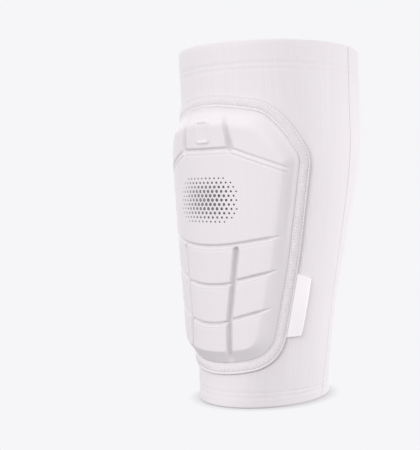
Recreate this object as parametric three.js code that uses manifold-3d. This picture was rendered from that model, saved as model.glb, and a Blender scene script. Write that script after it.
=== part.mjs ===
// A football shin guard: a knitted compression sleeve, open at both ends, that holds its leg shape,
// with a moulded foam pad on the shin, a stitched-down border round the pad and a folded side label.
// Millimetres, +Z up. The shin faces -Y and the guard stands on its bottom hem.
import * as THREE from "three";
import Module from "manifold-3d";

const wasm = await Module();
wasm.setup();

// The sleeve.
const SLEEVE_HEIGHT = 250;
const CALF_WIDTH = 130; // side to side at the fullest part of the calf
const CALF_DEPTH = 130; // shin to calf at the same height
const KNIT_THICKNESS = 1.5;
const HEM_THICKNESS = 2.8; // the cloth is turned in and doubled
const TOP_HEM_DEPTH = 19.5;
const BOTTOM_HEM_DEPTH = 11;
const HEM_STEP_HEIGHT = 1.2; // the slope from the doubled cloth to the single cloth
const SEAM_ANGLE_TOP = 102; // degrees round from the shin to each side seam
const SEAM_ANGLE_BOTTOM = 110;
const SEAM_GAP = 0.3; // between the two panels

// Leg sections. Heights are shares of SLEEVE_HEIGHT, halfWidth of CALF_WIDTH, shin and calf of CALF_DEPTH.
const LEG_SECTIONS = [
  { at: 0.0, halfWidth: 0.308, shin: 0.415, calf: 0.438 },
  { at: 0.12, halfWidth: 0.356, shin: 0.393, calf: 0.392 },
  { at: 0.3, halfWidth: 0.404, shin: 0.398, calf: 0.406 },
  { at: 0.5, halfWidth: 0.458, shin: 0.408, calf: 0.488 },
  { at: 0.7, halfWidth: 0.499, shin: 0.423, calf: 0.58 },
  { at: 0.85, halfWidth: 0.497, shin: 0.451, calf: 0.58 },
  { at: 1.0, halfWidth: 0.5, shin: 0.481, calf: 0.538 },
];

// The pad, measured round the leg and up it.
const PAD_WIDTH = 143;
const PAD_HEIGHT = 192;
const PAD_FOOT_HEIGHT = 22; // from the sleeve's bottom edge to the pad's lowest point
const BORDER_WIDTH = 8;
const BORDER_THICKNESS = 1.5;
const FOAM_THICKNESS = 8.1;
const FOAM_EDGE_THICKNESS = 2.2;
const SIDE_SLOPE_WIDTH = 11.3; // from the foam's thin edge in to its full thickness
const END_SLOPE_WIDTH = 8.5;
const CLEARANCE = 0.3; // between pieces that are sewn face to face
const FITTING_DEPTH = 2; // foam and border are made this much too deep and cut back to fit the sleeve
const CORE_THICKNESS = 8; // of the shells that pieces are cut back with

// Corners of the right half of the pad's outline, from the foot's middle to the top's middle.
// reach is a share of half of PAD_WIDTH, at of PAD_HEIGHT, and round of half of PAD_WIDTH.
const PAD_CORNERS = [
  { reach: 0, at: -0.009, round: 0.32 },
  { reach: 0.672, at: 0.042, round: 0.31 },
  { reach: 0.86, at: 0.385, round: 0.35 },
  { reach: 1.015, at: 0.788, round: 0.11 },
  { reach: 0.853, at: 0.892, round: 0.14 },
  { reach: 0.63, at: 0.977, round: 0.14 },
  { reach: 0, at: 1.012, round: 0.3 },
];

// Moulded grooves of the right half, mirrored on the left. reach and at are shares as in PAD_CORNERS;
// width and depth are shares of GROOVE_WIDTH and GROOVE_DEPTH.
const GROOVE_WIDTH = 4;
const GROOVE_DEPTH = 3;
const GROOVE_FLOOR_WIDTH = 0.8;
const GROOVE_OVERRUN = 0.9; // past both ends, so that grooves that meet run into each other
const GROOVES = [
  { part: "crest side", fromReach: 0.214, fromAt: 0.947, toReach: 0.284, toAt: 0.812, width: 1.1, depth: 1 },
  { part: "crest floor", fromReach: 0, fromAt: 0.809, toReach: 0.284, toAt: 0.812, width: 0.9, depth: 0.8 },
  { part: "brow", fromReach: 0.284, fromAt: 0.812, toReach: 0.8, toAt: 0.738, width: 1, depth: 0.8 },
  { part: "shield floor", fromReach: 0, fromAt: 0.466, toReach: 0.316, toAt: 0.477, width: 0.9, depth: 0.9 },
  { part: "shield side", fromReach: 0.316, fromAt: 0.477, toReach: 0.7, toAt: 0.507, width: 0.9, depth: 0.9 },
  { part: "upper row", fromReach: 0, fromAt: 0.326, toReach: 0.263, toAt: 0.338, width: 0.9, depth: 0.9 },
  { part: "upper side", fromReach: 0.312, fromAt: 0.349, toReach: 0.66, toAt: 0.388, width: 0.9, depth: 0.9 },
  { part: "lower row", fromReach: 0, fromAt: 0.187, toReach: 0.222, toAt: 0.201, width: 0.9, depth: 0.9 },
  { part: "lower side", fromReach: 0.274, fromAt: 0.212, toReach: 0.59, toAt: 0.254, width: 0.9, depth: 0.9 },
  { part: "column", fromReach: 0.316, fromAt: 0.477, toReach: 0.224, toAt: 0.2, width: 1.25, depth: 1.1 },
  { part: "column foot", fromReach: 0.224, fromAt: 0.2, toReach: 0.215, toAt: 0.06, width: 1.25, depth: 1.1 },
];

// The plain raised frame moulded on the pad's crest.
const CREST_FRAME_WIDTH = 12;
const CREST_FRAME_HEIGHT = 16;
const CREST_FRAME_BAR = 1.8;
const CREST_FRAME_RISE = 0.8;
const CREST_FRAME_AT = 0.873; // height of its middle, a share of PAD_HEIGHT

// The side label, a folded ribbon caught under the border's edge.
const LABEL_LENGTH = 42;
const LABEL_WIDTH = 10;
const LABEL_THICKNESS = 0.9;
const LABEL_LIFT = 1.6; // how far its free edge stands off the knit
const LABEL_AT = 0.14; // height of its lower corner, a share of PAD_HEIGHT
const LABEL_TOP_SLANT = 3; // how much lower its free top corner is
const LABEL_ROOT = 1; // how far it is made in under the border before it is cut back to it

// How finely the curves are divided.
const DEGREES_PER_FACET = 7.5;
const SLEEVE_ROWS = 14;
const OUTLINE_POINTS = 64;
const FOAM_RINGS = 5;
const SPINE_INSET = 0.33; // of PAD_WIDTH, from the pad's ends to the ends of the line its rings close on
const SPINE_SHARE = 0.98; // how far the last ring goes towards that line
const GROOVE_STEPS = 3;

// The value of a table's column at a share of the height, on a smooth curve through the rows.
function along(rows, column, at) {
  const share = THREE.MathUtils.clamp(at, rows[0].at, rows.at(-1).at);
  const upper = Math.max(1, rows.findIndex((row) => share <= row.at));
  const slopeAt = (index) => {
    const before = rows[Math.max(index - 1, 0)];
    const after = rows[Math.min(index + 1, rows.length - 1)];
    return (after[column] - before[column]) / (after.at - before.at);
  };
  const from = rows[upper - 1];
  const to = rows[upper];
  const span = to.at - from.at;
  const t = (share - from.at) / span;
  const eased = t * t * (3 - 2 * t);
  const fromBend = t * (1 - t) * (1 - t) * span * slopeAt(upper - 1);
  const toBend = t * t * (t - 1) * span * slopeAt(upper);
  return from[column] + (to[column] - from[column]) * eased + fromBend + toBend;
}

// A point of the leg form: angle round from the shin, height, and distance outside the sleeve's face.
function legPoint(angle, height, offset) {
  const at = height / SLEEVE_HEIGHT;
  const halfWidth = along(LEG_SECTIONS, "halfWidth", at) * CALF_WIDTH;
  const reach = along(LEG_SECTIONS, Math.cos(angle) > 0 ? "shin" : "calf", at) * CALF_DEPTH;
  const outward = new THREE.Vector2(Math.sin(angle) / halfWidth, -Math.cos(angle) / reach).normalize();
  return new THREE.Vector3(
    halfWidth * Math.sin(angle) + offset * outward.x,
    -reach * Math.cos(angle) + offset * outward.y,
    height,
  );
}

// The angle at which a length of cloth, measured round the leg from the shin line, ends.
function angleOfArc(arc, height) {
  const step = THREE.MathUtils.degToRad(1);
  let angle = 0;
  let left = Math.abs(arc);
  let here = legPoint(0, height, 0);
  for (;;) {
    const next = legPoint(angle + step, height, 0);
    const length = here.distanceTo(next);
    if (length >= left) return Math.sign(arc) * (angle + (step * left) / length);
    left -= length;
    angle += step;
    here = next;
  }
}

// A point over the cloth: arc round from the shin line, height above the sleeve's bottom edge.
function clothPoint(arc, height, offset) {
  return legPoint(angleOfArc(arc, height), height, offset);
}

const padPoint = (reach, at) =>
  new THREE.Vector2((reach * PAD_WIDTH) / 2, PAD_FOOT_HEIGHT + at * PAD_HEIGHT);

// A closed geometry from a list of points and a list of point triples.
function geometryOf(points, triangles) {
  const geometry = new THREE.BufferGeometry();
  geometry.setAttribute("position", new THREE.Float32BufferAttribute(points.flatMap((p) => p.toArray()), 3));
  geometry.setIndex(triangles.flat());
  geometry.computeVertexNormals();
  return geometry;
}

// A closed slab between an outer and an inner sheet. Each sheet is rows of points on the same grid;
// seen from outside, columns run to the right and rows run up. A looped slab's last column meets its first.
function slab(outer, inner, looped = false) {
  const rows = outer.length;
  const columns = outer[0].length;
  const points = [...outer.flat(), ...inner.flat()];
  const at = (sheet, row, column) => (sheet * rows + row) * columns + (column % columns);
  const triangles = [];
  const quad = (a, b, c, d) => triangles.push([a, b, c], [a, c, d]);
  const lastColumn = looped ? columns : columns - 1;
  for (let row = 0; row < rows - 1; row += 1) {
    for (let column = 0; column < lastColumn; column += 1) {
      const corners = [
        [row, column],
        [row, column + 1],
        [row + 1, column + 1],
        [row + 1, column],
      ];
      quad(...corners.map(([r, c]) => at(0, r, c)));
      quad(...corners.reverse().map(([r, c]) => at(1, r, c)));
    }
    if (!looped) {
      const end = columns - 1;
      quad(at(0, row, end), at(1, row, end), at(1, row + 1, end), at(0, row + 1, end));
      quad(at(1, row, 0), at(0, row, 0), at(0, row + 1, 0), at(1, row + 1, 0));
    }
  }
  const top = rows - 1;
  for (let column = 0; column < lastColumn; column += 1) {
    quad(at(1, 0, column), at(1, 0, column + 1), at(0, 0, column + 1), at(0, 0, column));
    quad(at(0, top, column), at(0, top, column + 1), at(1, top, column + 1), at(1, top, column));
  }
  return geometryOf(points, triangles);
}

// A closed prism through sections of equal point count, each running anticlockwise seen from its start.
function loft(sections) {
  const size = sections[0].length;
  const points = sections.flat();
  const triangles = [];
  for (let section = 0; section < sections.length - 1; section += 1) {
    for (let corner = 0; corner < size; corner += 1) {
      const a = section * size + corner;
      const b = section * size + ((corner + 1) % size);
      triangles.push([a, b, b + size], [a, b + size, a + size]);
    }
  }
  const last = (sections.length - 1) * size;
  for (let corner = 1; corner < size - 1; corner += 1) {
    triangles.push([0, corner + 1, corner], [last, last + corner, last + corner + 1]);
  }
  return geometryOf(points, triangles);
}

// A geometry as a solid that can be joined and cut, turned the right way out.
function solidOf(geometry) {
  const made = (triVerts) =>
    new wasm.Manifold(
      new wasm.Mesh({
        numProp: 3,
        vertProperties: new Float32Array(geometry.getAttribute("position").array),
        triVerts,
      }),
    );
  const triangles = new Uint32Array(geometry.getIndex().array);
  const solid = made(triangles);
  return solid.volume() > 0 ? solid : made(triangles.reverse());
}

function geometryOfSolid(solid) {
  const mesh = solid.getMesh();
  const geometry = new THREE.BufferGeometry();
  geometry.setAttribute("position", new THREE.BufferAttribute(mesh.vertProperties, 3));
  geometry.setIndex(new THREE.BufferAttribute(mesh.triVerts, 1));
  geometry.computeVertexNormals();
  return geometry;
}

// The heights at which the sleeve's wall is given, each with the wall's thickness there.
function wallRows() {
  const bottomTurn = BOTTOM_HEM_DEPTH;
  const topTurn = SLEEVE_HEIGHT - TOP_HEM_DEPTH;
  const rows = [
    { height: 0, thickness: HEM_THICKNESS },
    { height: bottomTurn, thickness: HEM_THICKNESS },
    { height: topTurn, thickness: HEM_THICKNESS },
    { height: SLEEVE_HEIGHT, thickness: HEM_THICKNESS },
  ];
  const low = bottomTurn + HEM_STEP_HEIGHT;
  const high = topTurn - HEM_STEP_HEIGHT;
  for (let row = 0; row <= SLEEVE_ROWS; row += 1) {
    rows.push({ height: THREE.MathUtils.lerp(low, high, row / SLEEVE_ROWS), thickness: KNIT_THICKNESS });
  }
  return rows.sort((a, b) => a.height - b.height);
}

const seamAngle = (height) =>
  THREE.MathUtils.degToRad(THREE.MathUtils.lerp(SEAM_ANGLE_BOTTOM, SEAM_ANGLE_TOP, height / SLEEVE_HEIGHT));

// The two panels between the seams: the angle of each one's middle, and how far it reaches to either side.
const HALF_SEAM_TURN = SEAM_GAP / CALF_WIDTH;
const FRONT = { middle: 0, halfSpanAt: (height) => seamAngle(height) - HALF_SEAM_TURN };
const BACK = { middle: Math.PI, halfSpanAt: (height) => Math.PI - seamAngle(height) - HALF_SEAM_TURN };

// A sheet over one panel, from its right-hand seam round to its left-hand one as seen from outside.
function panelSheet({ middle, halfSpanAt }, offsetOf) {
  const facet = THREE.MathUtils.degToRad(DEGREES_PER_FACET);
  const columns = Math.ceil(halfSpanAt(SLEEVE_HEIGHT / 2) / facet) * 2;
  return wallRows().map((row) =>
    Array.from({ length: columns + 1 }, (_, column) => {
      const angle = middle + halfSpanAt(row.height) * ((2 * column) / columns - 1);
      return legPoint(angle, row.height, offsetOf(row));
    }),
  );
}

// One knitted panel: its face is the leg form, and its hems are thicker on the inside.
function sleevePanel(panel) {
  const face = panelSheet(panel, () => 0);
  const inside = panelSheet(panel, (row) => -row.thickness);
  return slab(face, inside);
}

const frontPanel = () => sleevePanel(FRONT);
const backPanel = () => sleevePanel(BACK);

// What the pad may not enter: everything nearer the leg than the clearance over the front panel's face.
function sleeveCore() {
  const face = panelSheet(FRONT, () => CLEARANCE);
  const inside = panelSheet(FRONT, () => -CORE_THICKNESS);
  return solidOf(slab(face, inside));
}

// The pad's outline in arc and height, anticlockwise seen from outside, starting at the foot's middle.
function padOutline() {
  const right = PAD_CORNERS.map((corner) => ({
    point: padPoint(corner.reach, corner.at),
    round: (corner.round * PAD_WIDTH) / 2,
  }));
  const left = right
    .slice(1, -1)
    .reverse()
    .map(({ point, round }) => ({ point: new THREE.Vector2(-point.x, point.y), round }));
  const corners = [...right, ...left];
  const path = new THREE.Path();
  corners.forEach(({ point, round }, index) => {
    const before = corners.at(index - 1).point;
    const after = corners[(index + 1) % corners.length].point;
    const start = point.clone().add(before.clone().sub(point).setLength(round));
    const end = point.clone().add(after.clone().sub(point).setLength(round));
    if (index === 0) path.moveTo(start.x, start.y);
    else path.lineTo(start.x, start.y);
    path.quadraticCurveTo(point.x, point.y, end.x, end.y);
  });
  path.closePath();
  return path.getSpacedPoints(OUTLINE_POINTS).slice(0, OUTLINE_POINTS);
}

// A closed outline moved inwards by a distance.
function insetOutline(outline, distance) {
  return outline.map((point, index) => {
    const before = outline.at(index - 1);
    const after = outline[(index + 1) % outline.length];
    const run = after.clone().sub(before).setLength(distance);
    return new THREE.Vector2(point.x - run.y, point.y + run.x);
  });
}

const overCloth = (outline, offset) => outline.map((point) => clothPoint(point.x, point.y, offset));

// The flat band that is stitched down all round the foam.
function padBorder() {
  const outline = padOutline();
  const lines = [0, 0.5, 1].map((share) => insetOutline(outline, share * BORDER_WIDTH));
  const face = lines.map((line) => overCloth(line, CLEARANCE + BORDER_THICKNESS));
  const inside = lines.map((line) => overCloth(line, -FITTING_DEPTH));
  return geometryOfSolid(solidOf(slab(face, inside, true)).subtract(sleeveCore()));
}

// Rings of the foam from its edge in to a spine on the shin line, each with the foam's thickness there.
function foamRings() {
  const edge = insetOutline(padOutline(), BORDER_WIDTH + CLEARANCE);
  const spineLow = PAD_FOOT_HEIGHT + SPINE_INSET * PAD_WIDTH;
  const spineHigh = PAD_FOOT_HEIGHT + PAD_HEIGHT - SPINE_INSET * PAD_WIDTH;
  const inward = edge.map((point) => {
    const spine = new THREE.Vector2(0, THREE.MathUtils.clamp(point.y, spineLow, spineHigh));
    return spine.sub(point);
  });
  const slopeWidth = inward.map((run) => {
    const sideways = run.clone().normalize().x;
    return THREE.MathUtils.lerp(END_SLOPE_WIDTH, SIDE_SLOPE_WIDTH, sideways * sideways);
  });
  const ringAt = (distanceOf) =>
    edge.map((point, index) => point.clone().add(inward[index].clone().setLength(distanceOf(index))));
  const rings = [
    { line: edge, thickness: FOAM_EDGE_THICKNESS },
    { line: ringAt((index) => slopeWidth[index]), thickness: FOAM_THICKNESS },
  ];
  for (let ring = 1; ring <= FOAM_RINGS; ring += 1) {
    const share = (SPINE_SHARE * ring) / FOAM_RINGS;
    const distanceOf = (index) => THREE.MathUtils.lerp(slopeWidth[index], inward[index].length(), share);
    rings.push({ line: ringAt(distanceOf), thickness: FOAM_THICKNESS });
  }
  return rings;
}

// The foam before its grooves are cut: rings of points on both faces, closed with a strip down the spine.
function foamBlank() {
  const rings = foamRings();
  const sheets = [
    rings.map(({ line, thickness }) => overCloth(line, CLEARANCE + thickness)),
    rings.map(({ line }) => overCloth(line, -FITTING_DEPTH)),
  ];
  const points = sheets.flat(2);
  const at = (sheet, ring, index) =>
    (sheet * rings.length + ring) * OUTLINE_POINTS + ((index + OUTLINE_POINTS) % OUTLINE_POINTS);
  const triangles = [];
  const quad = (turned, a, b, c, d) => {
    if (turned) triangles.push([a, c, b], [a, d, c]);
    else triangles.push([a, b, c], [a, c, d]);
  };
  const innermost = rings.length - 1;
  for (let index = 0; index < OUTLINE_POINTS; index += 1) {
    for (let ring = 0; ring < innermost; ring += 1) {
      for (const sheet of [0, 1]) {
        const corners = [at(sheet, ring, index), at(sheet, ring, index + 1)];
        quad(sheet === 1, ...corners, at(sheet, ring + 1, index + 1), at(sheet, ring + 1, index));
      }
    }
    quad(false, at(1, 0, index), at(1, 0, index + 1), at(0, 0, index + 1), at(0, 0, index));
  }
  for (let index = 0; index < OUTLINE_POINTS / 2; index += 1) {
    for (const sheet of [0, 1]) {
      const right = [at(sheet, innermost, index), at(sheet, innermost, index + 1)];
      const left = [at(sheet, innermost, -index - 1), at(sheet, innermost, -index)];
      quad(sheet === 1, ...right, ...left);
    }
  }
  return solidOf(geometryOf(points, triangles.filter(([a, b, c]) => a !== b && b !== c && c !== a)));
}

// The wedge that is cut from the foam along one groove. side is 1 on the right half and -1 on the left.
function grooveCutter(groove, side) {
  const from = padPoint(groove.fromReach * side, groove.fromAt);
  const to = padPoint(groove.toReach * side, groove.toAt);
  const run = to.clone().sub(from).normalize();
  from.addScaledVector(run, -GROOVE_OVERRUN);
  to.addScaledVector(run, GROOVE_OVERRUN);
  const across = new THREE.Vector2(-run.y, run.x);
  const depth = groove.depth * GROOVE_DEPTH;
  const halfMouth = (groove.width * GROOVE_WIDTH) / 2;
  const halfFloor = GROOVE_FLOOR_WIDTH / 2;
  const surface = CLEARANCE + FOAM_THICKNESS;
  const above = CREST_FRAME_RISE * 2;
  const halfTop = halfMouth + ((halfMouth - halfFloor) * above) / depth;
  const profile = [
    { aside: -halfTop, offset: surface + above },
    { aside: -halfFloor, offset: surface - depth },
    { aside: halfFloor, offset: surface - depth },
    { aside: halfTop, offset: surface + above },
  ];
  const sections = Array.from({ length: GROOVE_STEPS + 1 }, (_, step) => {
    const middle = from.clone().lerp(to, step / GROOVE_STEPS);
    return profile.map(({ aside, offset }) => {
      const point = middle.clone().addScaledVector(across, aside);
      return clothPoint(point.x, point.y, offset);
    });
  });
  return solidOf(loft(sections));
}

// A raised frame with nothing in it, moulded in one with the foam.
function crestFrame() {
  const middle = padPoint(0, CREST_FRAME_AT);
  const halfWidth = CREST_FRAME_WIDTH / 2;
  const halfHeight = CREST_FRAME_HEIGHT / 2;
  const cut = CREST_FRAME_BAR;
  const outline = [
    [-halfWidth + cut, -halfHeight],
    [halfWidth - cut, -halfHeight],
    [halfWidth, -halfHeight + cut],
    [halfWidth, halfHeight - cut],
    [halfWidth - cut, halfHeight],
    [-halfWidth + cut, halfHeight],
    [-halfWidth, halfHeight - cut],
    [-halfWidth, -halfHeight + cut],
  ];
  const ring = (grow, offset) =>
    outline.map(([x, y]) => {
      const point = new THREE.Vector2(x * (1 - grow / halfWidth), y * (1 - grow / halfHeight));
      return clothPoint(middle.x + point.x, middle.y + point.y, offset);
    });
  const surface = CLEARANCE + FOAM_THICKNESS;
  const sheetAt = (offset) => [ring(0, offset), ring(CREST_FRAME_BAR, offset)];
  return solidOf(slab(sheetAt(surface + CREST_FRAME_RISE), sheetAt(surface - CREST_FRAME_RISE), true));
}

// The moulded foam: thin at its edge, full over the shin, and divided by grooves so that it bends.
function foamPad() {
  const cutters = [1, -1].flatMap((side) => GROOVES.map((groove) => grooveCutter(groove, side)));
  const allGrooves = cutters.reduce((joined, cutter) => joined.add(cutter));
  return geometryOfSolid(foamBlank().subtract(sleeveCore()).subtract(allGrooves).add(crestFrame()));
}

// The reach of the pad's right-hand edge at a height, as an arc from the shin line.
function padEdgeReach(height) {
  const outline = padOutline().slice(0, OUTLINE_POINTS / 2);
  const upper = outline.findIndex((point, index) => index > 0 && point.y >= height && point.x > 0);
  const low = outline[upper - 1];
  const high = outline[upper];
  return THREE.MathUtils.mapLinear(height, low.y, high.y, low.x, high.x);
}

// What the label may not enter: everything within the clearance of the border.
function borderCore() {
  const outline = padOutline();
  const lines = [-CLEARANCE, BORDER_WIDTH].map((distance) => insetOutline(outline, distance));
  const face = lines.map((line) => overCloth(line, CLEARANCE + BORDER_THICKNESS + CORE_THICKNESS));
  const inside = lines.map((line) => overCloth(line, -FITTING_DEPTH));
  return solidOf(slab(face, inside, true));
}

// The folded label, which leaves the border's right-hand edge and stands a little off the knit.
function sideLabel() {
  const low = PAD_FOOT_HEIGHT + LABEL_AT * PAD_HEIGHT;
  const sheet = (raise) =>
    [0, 0.25, 0.5, 0.75, 1].map((up) =>
      [0, 0.25, 0.5, 0.75, 1].map((out) => {
        const height = low + up * (LABEL_LENGTH - out * LABEL_TOP_SLANT);
        const across = THREE.MathUtils.lerp(-LABEL_ROOT, LABEL_WIDTH, out);
        const arc = padEdgeReach(low + up * LABEL_LENGTH) + CLEARANCE + across;
        return clothPoint(arc, height, CLEARANCE + raise + LABEL_LIFT * out * out);
      }),
    );
  return geometryOfSolid(solidOf(slab(sheet(LABEL_THICKNESS), sheet(0))).subtract(borderCore()));
}

const whiteKnit = new THREE.MeshStandardMaterial({ color: 0xebe5e9, roughness: 0.85, metalness: 0 });
const whitePadCloth = new THREE.MeshStandardMaterial({ color: 0xebe6ea, roughness: 0.7, metalness: 0 });
const whiteBorderCloth = new THREE.MeshStandardMaterial({ color: 0xe2dce0, roughness: 0.9, metalness: 0 });
const whiteRibbon = new THREE.MeshStandardMaterial({ color: 0xf6f3f5, roughness: 0.6, metalness: 0 });

const PIECES = [
  { name: "front_panel", shape: frontPanel, material: whiteKnit },
  { name: "back_panel", shape: backPanel, material: whiteKnit },
  { name: "foam_pad", shape: foamPad, material: whitePadCloth },
  { name: "pad_border", shape: padBorder, material: whiteBorderCloth },
  { name: "side_label", shape: sideLabel, material: whiteRibbon },
];

const guard = new THREE.Group();
for (const { name, shape, material } of PIECES) {
  const mesh = new THREE.Mesh(shape(), material);
  mesh.name = name;
  guard.add(mesh);
}

// The origin is on the ground, under the middle of the guard's box.
const box = new THREE.Box3().setFromObject(guard, true);
guard.position.set(-(box.min.x + box.max.x) / 2, -(box.min.y + box.max.y) / 2, -box.min.z);

export default guard;
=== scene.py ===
# A football shin guard: a ribbed knit sleeve with a moulded foam pad sewn to its shin. Metres, +Z up.
import math

import bmesh
import bpy
import numpy as np
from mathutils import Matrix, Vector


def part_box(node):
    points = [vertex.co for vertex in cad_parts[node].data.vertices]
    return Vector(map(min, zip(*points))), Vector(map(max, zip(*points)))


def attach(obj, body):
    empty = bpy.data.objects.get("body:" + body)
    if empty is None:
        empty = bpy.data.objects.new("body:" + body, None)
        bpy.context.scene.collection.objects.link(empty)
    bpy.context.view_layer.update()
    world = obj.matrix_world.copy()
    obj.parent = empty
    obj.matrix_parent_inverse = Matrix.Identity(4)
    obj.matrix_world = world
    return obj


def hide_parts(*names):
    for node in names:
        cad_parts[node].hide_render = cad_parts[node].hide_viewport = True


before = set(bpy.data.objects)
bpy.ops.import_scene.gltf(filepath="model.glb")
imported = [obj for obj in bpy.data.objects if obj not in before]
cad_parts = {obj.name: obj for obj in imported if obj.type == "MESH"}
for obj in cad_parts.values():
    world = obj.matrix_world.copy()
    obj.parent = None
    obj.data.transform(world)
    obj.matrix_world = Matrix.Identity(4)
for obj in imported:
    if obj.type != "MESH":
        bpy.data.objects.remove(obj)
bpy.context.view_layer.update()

MM = 0.001

# The camera.
# A long lens at the height of the guard's middle, in front of the shin and well round to its right.
leg_axis = np.array([0.0, -5.07, 0.0]) * MM  # a little to the shin's side of the frame's origin
CAMERA_AZIMUTH = math.radians(45.67)
CAMERA_PITCH_DOWN = math.radians(1.81)
CAMERA_DISTANCE = 641.6 * MM
CAMERA_HEIGHT = 145.1 * MM
CAMERA_ASIDE = 40.5 * MM  # the leg's axis lies this far to the right of the view's middle
CAMERA_LENS_SHARE = 1.9385  # focal length over the picture's height

to_right = np.array([math.cos(CAMERA_AZIMUTH), math.sin(CAMERA_AZIMUTH), 0.0])
ahead = np.array([-math.sin(CAMERA_AZIMUTH), math.cos(CAMERA_AZIMUTH), 0.0])
camera_data = bpy.data.cameras.new("camera")
camera_data.lens = CAMERA_LENS_SHARE * camera_data.sensor_width
camera = bpy.data.objects.new("camera", camera_data)
camera.location = leg_axis - CAMERA_DISTANCE * ahead - CAMERA_ASIDE * to_right + [0, 0, CAMERA_HEIGHT]
camera.rotation_euler = (math.pi / 2 - CAMERA_PITCH_DOWN, 0, CAMERA_AZIMUTH)
bpy.context.collection.objects.link(camera)
bpy.context.scene.camera = camera
bpy.context.scene.view_settings.view_transform = "Standard"


# The studio.
# A wide floor of pale paper under an even backdrop, and soft lamps.
# The paper glows evenly, with a painted contact shadow close to what stands on it.
class Wire:
    """A node's output in a formula: the operators add Math nodes to its graph."""

    def __init__(self, graph, socket):
        self.graph = graph
        self.socket = socket

    def math(self, operation, *others, clamp=False):
        settings = {"operation": operation, "use_clamp": clamp}
        return self.graph.take("ShaderNodeMath", settings, dict(enumerate((self, *others))))

    def clamped(self):
        return self.math("ADD", 0, clamp=True)

    def wave(self, shape="COSINE"):
        """A wave that repeats at every whole number."""
        return (self * (2 * math.pi)).math(shape)

    def __add__(self, other):
        return self.math("ADD", other)

    def __sub__(self, other):
        return self.math("SUBTRACT", other)

    def __mul__(self, other):
        return self.math("MULTIPLY", other)

    def __truediv__(self, other):
        return self.math("DIVIDE", other)

    def __rsub__(self, other):
        return self.math("MULTIPLY", -1).math("ADD", other)

    __radd__ = __add__
    __rmul__ = __mul__


class Graph:
    """The nodes of one tree. A node's settings are set before its sockets."""

    def __init__(self, tree):
        self.tree = tree

    def node(self, kind, settings=None, sockets=None):
        made = self.tree.nodes.new(kind)
        for name, value in (settings or {}).items():
            if name == "stops":
                ramp = made.color_ramp.elements
                for stop, (position, colour) in enumerate(value):
                    element = ramp[stop] if stop < 2 else ramp.new(position)
                    element.position = position
                    element.color = (*colour, 1)
            else:
                setattr(made, name, value)
        for key, value in (sockets or {}).items():
            if isinstance(value, Wire):
                self.tree.links.new(value.socket, made.inputs[key])
            else:
                made.inputs[key].default_value = value
        return made

    def take(self, kind, settings=None, sockets=None, output=0):
        return Wire(self, self.node(kind, settings, sockets).outputs[output])

    def place(self):
        return self.take("ShaderNodeTexCoord", output="Object")

    def attribute(self, name):
        return self.take("ShaderNodeAttribute", {"attribute_name": name}, output="Fac")

    def mix(self, factor, low, high):
        """A colour between two others, each plain or a wire."""
        low, high = (colour if isinstance(colour, Wire) else (*colour, 1) for colour in (low, high))
        sockets = {"Factor": factor, 6: low, 7: high}
        return self.take("ShaderNodeMix", {"data_type": "RGBA"}, sockets, output=2)

    def noise(self, place, scale, detail, roughness=0.5):
        sockets = {"Vector": place, "Scale": scale, "Detail": detail, "Roughness": roughness}
        return self.take("ShaderNodeTexNoise", sockets=sockets)

    def bump(self, strength, depth, relief):
        sockets = {"Strength": strength, "Distance": depth, "Height": relief}
        return self.take("ShaderNodeBump", sockets=sockets)

    def scaled(self, direction, length):
        return self.take("ShaderNodeVectorMath", {"operation": "SCALE"}, {0: direction, "Scale": length})


def new_material(name):
    material = bpy.data.materials.new(name)
    material.use_nodes = True
    material.node_tree.nodes.clear()
    return material, Graph(material.node_tree)


def close_material(graph, sockets, shader="ShaderNodeBsdfPrincipled"):
    """Ends a material's tree in a shader with these sockets."""
    graph.node("ShaderNodeOutputMaterial", sockets={"Surface": graph.take(shader, sockets=sockets)})


def object_of(name, mesh, material=None):
    made = bpy.data.objects.new(name, mesh)
    bpy.context.collection.objects.link(made)
    if material is not None:
        mesh.materials.append(material)
    return made


def mesh_of(name, points, faces):
    mesh = bpy.data.meshes.new(name)
    mesh.from_pydata(np.asarray(points).reshape(-1, 3).tolist(), [], faces)
    mesh.update()
    mesh.shade_smooth()
    return mesh


def grid_faces(rows, columns, start=0, looped=False, turned=False):
    """The quads of a grid of points whose rows follow each other in the list of points."""
    quads_across = columns if looped else columns - 1
    row, column = np.meshgrid(np.arange(rows - 1), np.arange(quads_across), indexing="ij")
    here = row * columns + column
    beside = row * columns + (column + 1) % columns
    quads = np.stack([here, beside, beside + columns, here + columns], -1).reshape(-1, 4)
    if turned:
        quads = quads[:, ::-1]
    return (quads + start).tolist()


PAPER_COLOUR = (0.9216, 0.9216, 0.9387)
PAPER_SHADE = (0.52, 0.50, 0.52)
CONTACT_SHADOW_REACH = 9 * MM
CONTACT_SHADOW_OPEN_TO = (0.0, 0.64, 0.77)  # up and towards the calf: the shadow lies by the shin
CONTACT_SHADOW_SAMPLES = 8
FLOOR_RADIUS = 8.0
FLOOR_CORNERS = 96

material, graph = new_material("pale paper")
# A painted contact shadow: the paper's glow darkens where what stands on it hides the room.
opening = graph.take(
    "ShaderNodeAmbientOcclusion",
    {"samples": CONTACT_SHADOW_SAMPLES},
    {"Distance": CONTACT_SHADOW_REACH, "Normal": CONTACT_SHADOW_OPEN_TO},
    output="AO",
)
close_material(graph, {"Color": graph.mix(opening, PAPER_SHADE, PAPER_COLOUR)}, "ShaderNodeEmission")
around = np.linspace(0, 2 * math.pi, FLOOR_CORNERS + 1)[:-1]
rim = FLOOR_RADIUS * np.stack([np.cos(around), np.sin(around), 0 * around], -1)
floor = object_of("floor", mesh_of("floor", rim, [list(range(FLOOR_CORNERS))]), material)
floor.visible_diffuse = False
floor.visible_shadow = False

# The room's grey light. Columns: height, from straight below at 0 to straight above at 1, and level.
ROOM_LIGHT = ((0, 0.17), (0.42, 0.46), (0.56, 1), (1, 0.62))
ROOM_STRENGTH = 1.05

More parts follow.
